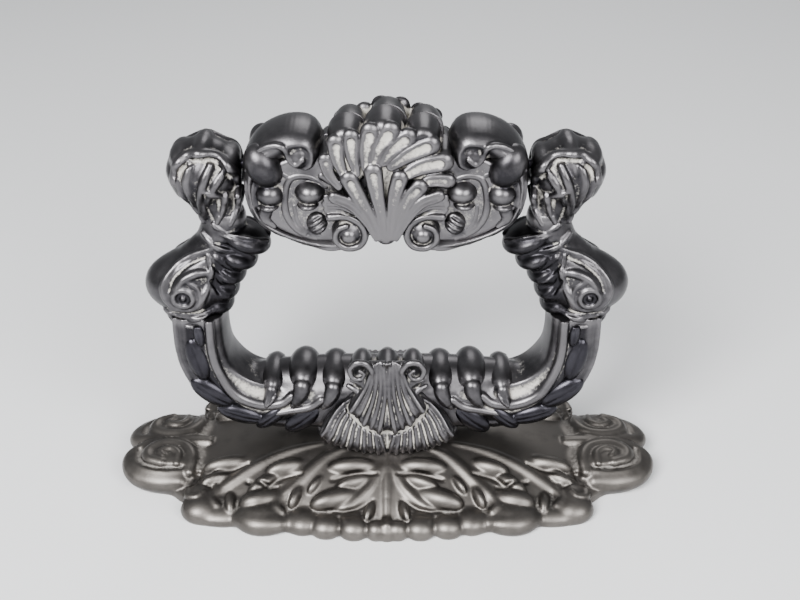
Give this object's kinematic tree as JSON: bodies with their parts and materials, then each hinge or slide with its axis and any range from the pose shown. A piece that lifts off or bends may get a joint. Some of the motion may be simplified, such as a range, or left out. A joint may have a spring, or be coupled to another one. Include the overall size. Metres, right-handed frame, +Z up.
{
  "type": "dish cover lifting handle",
  "caption": "Ornate cast lifting handle for a large dish cover: a loop of dolphins, shell crest and gadrooned bow on a hollow leafage base with stud fixing.",
  "frame": {"origin": "on the resting plane of the base rim, under the centre of the handle", "axes": "+Z up, +X to the right along the loop, -Y towards the front face"},
  "size_m": [0.15, 0.07, 0.1095],
  "materials": {
    "tarnished_silver_plate": "tarnished, satin polish with pale residue in the recesses",
    "dark_silver_plate": "heavily tarnished, smooth gloss",
    "tarnished_base_plate": "tarnished, soft satin",
    "brass_hardware": "turned and threaded, dull"
  },
  "bodies": {
    "root": {"base_plate": "tarnished_base_plate", "backing_strap": "brass_hardware", "left_stud": "brass_hardware", "right_stud": "brass_hardware", "foot": "tarnished_silver_plate", "foot_pegs": "brass_hardware", "bow": "tarnished_silver_plate", "lower_shell_front": "tarnished_silver_plate", "lower_shell_rear": "tarnished_silver_plate", "crest_bar": "tarnished_silver_plate", "crest_shell_front": "tarnished_silver_plate", "crest_shell_rear": "tarnished_silver_plate", "left_gadroons": "dark_silver_plate", "left_bow_leaves": "dark_silver_plate", "left_mouth_peg": "brass_hardware", "left_dolphin": "tarnished_silver_plate", "left_dolphin_tail": "tarnished_silver_plate", "left_tail_pin": "brass_hardware", "left_crest_scroll": "tarnished_silver_plate", "left_crest_bulbs": "tarnished_silver_plate", "left_volutes": "tarnished_silver_plate", "right_gadroons": "dark_silver_plate", "right_bow_leaves": "dark_silver_plate", "right_mouth_peg": "brass_hardware", "right_dolphin": "tarnished_silver_plate", "right_dolphin_tail": "tarnished_silver_plate", "right_tail_pin": "brass_hardware", "right_crest_scroll": "tarnished_silver_plate", "right_crest_bulbs": "tarnished_silver_plate", "right_volutes": "tarnished_silver_plate"},
    "left_washer": {"left_washer": "brass_hardware"},
    "left_nut": {"left_wing_nut": "brass_hardware"},
    "right_washer": {"right_washer": "brass_hardware"},
    "right_nut": {"right_wing_nut": "brass_hardware"}
  },
  "joints": [
    {"name": "left_washer_slide", "type": "slide", "parent": "root", "child": "left_washer", "axis": [0, 0, -1], "range_m": [0, 0.00212]},
    {"name": "left_nut_turn", "type": "hinge", "parent": "left_washer", "child": "left_nut", "pos_m": [-0.022, 0, 0.006], "axis": [0, 0, -1], "range_deg": [0, 720]},
    {"name": "right_washer_slide", "type": "slide", "parent": "root", "child": "right_washer", "axis": [0, 0, -1], "range_m": [0, 0.00212]},
    {"name": "right_nut_turn", "type": "hinge", "parent": "right_washer", "child": "right_nut", "pos_m": [0.022, 0, 0.006], "axis": [0, 0, -1], "range_deg": [0, 720]}
  ],
  "couplings": [
    {"joint": "left_nut_turn", "follows": "left_washer_slide", "rad_per_m": 5936.9},
    {"joint": "right_nut_turn", "follows": "right_washer_slide", "rad_per_m": 5936.9}
  ]
}
